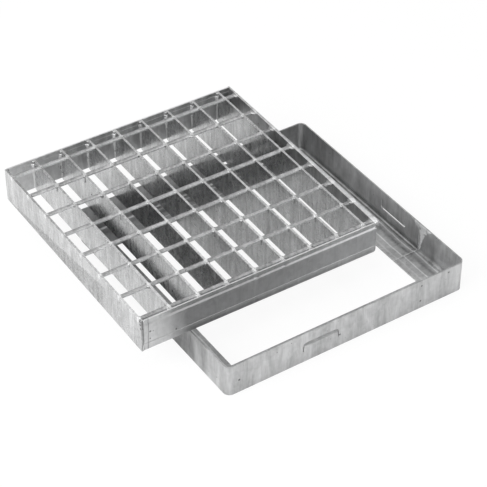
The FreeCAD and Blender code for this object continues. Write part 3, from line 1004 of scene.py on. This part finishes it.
def make_edge_welds():
    rng = random.Random(EDGE_SEED)
    shape = bmesh.new()
    for along in cross_places:
        middle_across = head_side(along) + rng.uniform(*EDGE_SHIFTS_ACROSS)
        middle_along = along + rng.uniform(*EDGE_SHIFTS_ALONG)
        add_collar(shape, middle_across, middle_along, rng.uniform(*EDGE_REACHES_ACROSS),
                   rng.uniform(*EDGE_REACHES_ALONG), rng.uniform(*EDGE_POWERS), EDGE_DEEPER)
    return finish_piece("edge_welds", shape, weld_zinc)


edge_welds = make_edge_welds()

# %% The tab at the corner
TAB_SIDES = 14
TAB_STEPS = 14
TAB_ACROSS = 570.6
TAB_ALONG = 3.2
TAB_LENGTH = 30.0
TAB_TOP_HALF = 3.4
TAB_TAPER = 1.8
TAB_FLATTER = 0.85
TAB_CIRCLE = 5.0
TAB_WAVE = (0.3, 0.35)
TAB_TOP_SHARE = 0.45
TAB_WIDENS = 2.2


def make_corner_tab():
    shape = bmesh.new()
    rings = []
    for level in range(TAB_STEPS + 1):
        share = level / TAB_STEPS
        up = panel_depth - EDGE_ROOM - TAB_LENGTH * share
        half = (TAB_TOP_HALF - TAB_TAPER * share) * min(1.0, TAB_TOP_SHARE + TAB_WIDENS * share)
        ring = []
        for side in range(TAB_SIDES):
            angle = 2.0 * math.pi * side / TAB_SIDES
            spot = (TAB_CIRCLE * math.cos(angle), TAB_CIRCLE * math.sin(angle), up)
            push = half * bumpy(spot, *TAB_WAVE)
            place = keep_inside(TAB_ACROSS + push * math.cos(angle),
                                TAB_ALONG + TAB_FLATTER * push * math.sin(angle))
            ring.append(on_panel(*place, up))
        rings.append(ring)
    add_skin(shape, rings)
    return finish_piece("corner_tab", shape, weld_zinc)


corner_tab = make_corner_tab()

# %% [markdown]
# ## Welds at the bands
#
# Each bearing bar's end is welded to its band by two upright fillets in the corners, thicker at
# the top, where the welder started, and by a lump over the end. At the front the lumps lie in
# the gap between the band and the first cross bar.

# %% Band fillets
WEB_TOP = panel_depth - 10.5
WEB_FOOT = 5.0
FILLET_LEVELS = 26
# the outline of a fillet seen from above, when its legs are 1 long
FILLET_OUTLINE = ((-0.6, -0.6), (1.0, -0.6), (1.0, 0.08), (0.62, 0.2), (0.34, 0.34),
                  (0.2, 0.62), (0.08, 1.0), (-0.6, 1.0))
FILLET_SEED = 31
FILLET_FLARE = 2.5
FILLET_WAVE = (0.22, 0.5)
FILLET_RIPPLE = (0.6, 0.25)
FILLET_TOP_LEGS = (4.0, 7.0)
FILLET_FOOT_LEGS = (2.0, 3.0)


def add_fillet(shape, across, along, turn_across, turn_along, top_leg, foot_leg):
    # the corner's two faces lead off along turn_across and turn_along, which are +1 or -1
    rings = []
    for level in range(FILLET_LEVELS + 1):
        share = level / FILLET_LEVELS
        up = WEB_FOOT + (WEB_TOP - WEB_FOOT) * share
        leg = foot_leg + (top_leg - foot_leg) * share ** FILLET_FLARE
        wave = bumpy((across, along, up), *FILLET_WAVE)
        leg *= wave * bumpy((along, across, up), *FILLET_RIPPLE)
        rings.append([on_panel(*keep_inside(across + turn_across * leg * x,
                                            along + turn_along * leg * y), up)
                      for x, y in FILLET_OUTLINE])
    add_skin(shape, rings)


def make_band_fillets():
    rng = random.Random(FILLET_SEED)
    shape = bmesh.new()
    for across in bar_places:
        for sign in (-1, 1):
            side = across + sign * BAR_THICKNESS / 2
            if side < BAR_THICKNESS / 2:
                continue
            for along, turn in ((BAND_DEPTH, 1), (PANEL_ALONG - BAND_DEPTH, -1)):
                add_fillet(shape, side, along, sign, turn, rng.uniform(*FILLET_TOP_LEGS),
                           rng.uniform(*FILLET_FOOT_LEGS))
    return finish_piece("band_fillets", shape, seam_zinc)


band_fillets = make_band_fillets()

# %% Band lumps
LUMP_SEED = 37
FRONT_LUMP = {"reach_along": 4.8, "power": 2.0, "deeper": 1.1, "top": 0.6}
FRONT_LUMP_ALONG = 9.0
FRONT_SHIFTS = (0.0, 2.0)
FRONT_REACHES = (6.5, 9.5)
BACK_LUMP = {"reach_along": 5.0, "power": 1.6, "deeper": 1.0, "top": 0.3}
BACK_LUMP_ALONG = PANEL_ALONG - BAND_DEPTH - 1.0
BACK_SHIFTS = (-2.2, -0.8)
BACK_REACHES = (5.0, 6.5)


def make_band_lumps():
    rng = random.Random(LUMP_SEED)
    shape = bmesh.new()
    for across in bar_places:
        add_collar(shape, across + rng.uniform(*FRONT_SHIFTS), FRONT_LUMP_ALONG,
                   rng.uniform(*FRONT_REACHES), **FRONT_LUMP)
        add_collar(shape, across + rng.uniform(*BACK_SHIFTS), BACK_LUMP_ALONG,
                   rng.uniform(*BACK_REACHES), **BACK_LUMP)
    return finish_piece("band_lumps", shape, weld_zinc)


band_lumps = make_band_lumps()

# %% [markdown]
# ## Weld down the left corner
#
# The left bearing bar stops just short of the front band's face, and a rough, dull weld shows
# in the corner between them. It is five millimetres wide at the top and dies out at the foot,
# because a smooth run of zinc closes the rest of the corner.

# %% Left corner weld
NOTCH_WIDTH = 5.0
NOTCH_DEPTH = 3.6
CORNER_LEVELS = 30
CORNER_FOOT = 4.6
CORNER_TOP_GAP = 0.6
DULL_FOOT = 8.0
DULL_GROWS_OVER = 18.0
DULL_FULL_WIDTH = 4.4
DULL_WAVE = (0.25, 0.3)
SMOOTH_LEAST = 0.8
HOLLOW = 2.3
HOLLOW_WANDER = (0.8, 9.0, 2.0, 0.3)
OVERLAP = 0.4


def dull_width(up):
    # grows from nothing at the foot to nearly the whole corner, and stays so to the top
    share = min(max((up - DULL_FOOT) / DULL_GROWS_OVER, 0.0), 1.0)
    return DULL_FULL_WIDTH * share * bumpy((1.0, 7.0, up), *DULL_WAVE)


def make_corner_pieces():
    dull = bmesh.new()
    smooth = bmesh.new()
    dull_rings = []
    smooth_rings = []
    inner = NOTCH_DEPTH + OVERLAP
    outer = NOTCH_WIDTH + 0.6
    for level in range(CORNER_LEVELS + 1):
        up = CORNER_FOOT + (panel_depth - CORNER_TOP_GAP - CORNER_FOOT) * level / CORNER_LEVELS
        width = EDGE_ROOM + 0.1 + max(0.0, min(dull_width(up), NOTCH_WIDTH - SMOOTH_LEAST))
        hollow = HOLLOW + wander(up, *HOLLOW_WANDER)
        # each ring is a list of corners, from the inside of the notch round to its open face
        dull_rings.append([on_panel(*place, up) for place in
                           ((EDGE_ROOM, inner), (width + OVERLAP, inner),
                            (width + OVERLAP, hollow), (width * 0.6, hollow + 0.5),
                            (EDGE_ROOM, hollow + 0.2))])
        smooth_rings.append([on_panel(*place, up) for place in
                             ((width, inner), (outer, inner), (outer, EDGE_ROOM + 0.1),
                              (width + 0.5, EDGE_ROOM + 0.2), (width, EDGE_ROOM + 0.8))])
    add_skin(dull, dull_rings)
    add_skin(smooth, smooth_rings)
    return (finish_piece("corner_weld", dull, dull_zinc),
            finish_piece("corner_run", smooth, band_zinc))


corner_weld, corner_run = make_corner_pieces()

# %% [markdown]
# ## The frame's seam
#
# The angle is one length, bent round four corners, and its two ends meet on the right side. The
# weld up the inside is wide and ragged at the rim, where it was run twice, and narrow below.
# It is a pad on the wall whose two sides follow a short table of heights.

# %% Seam pad
WALL_FACE = 297.0
# each row: a height, and where the pad's front and rear sides are there
SEAM_TABLE = ((4.0, -154.5, -148.5), (20.0, -156.0, -149.5), (38.0, -161.0, -151.5),
              (47.0, -164.0, -150.0), (56.0, -168.0, -147.0), (63.0, -174.0, -140.0),
              (69.0, -182.0, -128.0), (74.6, -187.0, -113.0))
PAD_COLUMNS = 22
PAD_LEVELS = 44
PAD_HEIGHT = 70.5
PAD_THICK = 1.9
PAD_THINNEST = 0.05
PAD_ROOT = 0.4
FRONT_WANDER = (2.5, 3.0, 1.0, 0.21)
REAR_WANDER = (3.5, 8.0, 4.0, 0.24)
# each row: how high the lumps are, how close together, and a part of the noise
PAD_LUMPS = ((0.75, 0.16, 5.0), (0.4, 0.42, 2.0))


def seam_side(height, column):
    for lower, upper in zip(SEAM_TABLE, SEAM_TABLE[1:]):
        if height <= upper[0]:
            share = (height - lower[0]) / (upper[0] - lower[0])
            return lower[column] + (upper[column] - lower[column]) * share
    return SEAM_TABLE[-1][column]


def make_seam_pad():
    shape = bmesh.new()
    rings = []
    for level in range(PAD_LEVELS + 1):
        up = SEAM_TABLE[0][0] + PAD_HEIGHT * level / PAD_LEVELS
        front = seam_side(up, 1) + wander(up, *FRONT_WANDER)
        rear = seam_side(up, 2) + wander(up, *REAR_WANDER)
        ring = []
        for column in range(PAD_COLUMNS + 1):
            share = column / PAD_COLUMNS
            along = front + (rear - front) * share
            rough = 0.0
            for swing, pace, part in PAD_LUMPS:
                rough += swing * noise.noise(Vector((along * pace, up * pace, part)))
            thick = max(PAD_THINNEST, math.sin(math.pi * share) * (PAD_THICK + rough))
            ring.append(Vector((WALL_FACE - thick, along, up)) * MILLIMETRE)
        ring.append(Vector((WALL_FACE + PAD_ROOT, rear, up)) * MILLIMETRE)
        ring.append(Vector((WALL_FACE + PAD_ROOT, front, up)) * MILLIMETRE)
        rings.append(ring)
    add_skin(shape, rings)
    return finish_piece("seam_pad", shape, seam_zinc)


seam_pad = make_seam_pad()

# %% [markdown]
# ## Floor, light and background
#
# The part stands on a plain white floor. To the camera most of the floor's light is an even
# white, which the Light Path node picks out, and the rest is lit by the lamps, so the part's
# soft shadow stays. Rays that come by way of the metal get a smaller share of that white.

# %% Floor
FLOOR_HALF = 8.0
FLOOR_DROP = 0.0003
FLOOR_COLOUR = (0.93, 0.93, 0.93, 1.0)
WHITE = (1.0, 1.0, 1.0, 1.0)
SHARE_SEEN = 0.9
SHARE_IN_METAL = 0.12
SHARE_THROUGH = 0.8


def make_floor():
    mesh = bpy.data.meshes.new("floor")
    shape = bmesh.new()
    bmesh.ops.create_grid(shape, x_segments=1, y_segments=1, size=FLOOR_HALF)
    shape.to_mesh(mesh)
    shape.free()
    floor = bpy.data.objects.new("floor", mesh)
    floor.location.z = -FLOOR_DROP
    scene.collection.objects.link(floor)
    material = bpy.data.materials.new("white_floor")
    material.use_nodes = True
    tree = material.node_tree
    tree.nodes.clear()
    lit = add_node(tree, "ShaderNodeBsdfDiffuse", Color=FLOOR_COLOUR)
    plain = add_node(tree, "ShaderNodeEmission", Color=WHITE, Strength=1.0)
    path = tree.nodes.new("ShaderNodeLightPath")
    seen = calculate(tree, "MULTIPLY", path.outputs["Is Camera Ray"], SHARE_SEEN)
    glossy = calculate(tree, "MULTIPLY", path.outputs["Is Glossy Ray"], SHARE_IN_METAL)
    through = calculate(tree, "MULTIPLY", path.outputs["Is Transmission Ray"], SHARE_THROUGH)
    share = calculate(tree, "ADD", calculate(tree, "ADD", seen, glossy), through)
    mix = tree.nodes.new("ShaderNodeMixShader")
    tree.links.new(share, mix.inputs[0])
    tree.links.new(lit.outputs[0], mix.inputs[1])
    tree.links.new(plain.outputs[0], mix.inputs[2])
    output = tree.nodes.new("ShaderNodeOutputMaterial")
    tree.links.new(mix.outputs[0], output.inputs["Surface"])
    mesh.materials.append(material)
    return floor


floor = make_floor()
print("floor:", floor.name)

# %% [markdown]
# ## Lamps
#
# The light is that of a plain studio. One large soft lamp stands on the left and a weaker one
# hangs overhead, wide enough that the metal never mirrors a small hot spot. A faint lamp behind
# the part lifts the tops of the bars, which mirror that side of the room.

# %% Lamps
# each row: the name, the place, the place that it points at, the side in metres, the power
LAMPS = (
    ("left_lamp", (-2.6, -0.4, 1.9), (0.0, 0.0, 0.1), 2.0, 60),
    ("top_lamp", (0.3, 0.2, 2.8), (0.0, 0.0, 0.0), 3.2, 30),
    ("back_lamp", (1.5, 2.2, 2.2), (0.0, 0.0, 0.1), 1.6, 2.5),
)


def soft_lamp(name, place, aim, side, power):
    data = bpy.data.lights.new(name, "AREA")
    data.shape = "SQUARE"
    data.size = side
    data.energy = power
    lamp = bpy.data.objects.new(name, data)
    lamp.location = Vector(place)
    lamp.rotation_mode = "QUATERNION"
    lamp.rotation_quaternion = (Vector(aim) - Vector(place)).to_track_quat("-Z", "Y")
    scene.collection.objects.link(lamp)
    return lamp


lamps = [soft_lamp(*row) for row in LAMPS]
print("lamps:", [lamp.name for lamp in lamps])

# %% [markdown]
# ## The room
#
# The rest of the light comes from the world, a pale room that is brighter on the left. Metal
# shows its surroundings, so this slow change from dark to bright is what gives the faces of the
# bars their different tones.

# %% World
BRIGHT_SIDE = Vector((-0.75, -0.35, 0.56)).normalized()
SPREAD = 0.8
DARKEST = 0.07
BRIGHTEST = 0.85


def make_world():
    world = bpy.data.worlds.new("pale_studio")
    world.use_nodes = True
    scene.world = world
    tree = world.node_tree
    tree.nodes.clear()
    direction = tree.nodes.new("ShaderNodeTexCoord").outputs["Generated"]
    towards = add_node(tree, "ShaderNodeVectorMath", {"operation": "DOT_PRODUCT"})
    tree.links.new(direction, towards.inputs[0])
    towards.inputs[1].default_value = BRIGHT_SIDE
    light = remap(tree, towards.outputs["Value"], -SPREAD, SPREAD, DARKEST, BRIGHTEST)
    background = add_node(tree, "ShaderNodeBackground", Color=WHITE, Strength=light)
    output = tree.nodes.new("ShaderNodeOutputWorld")
    tree.links.new(background.outputs[0], output.inputs["Surface"])
    return world


world = make_world()
scene.view_settings.view_transform = "Standard"
print("world:", world.name)
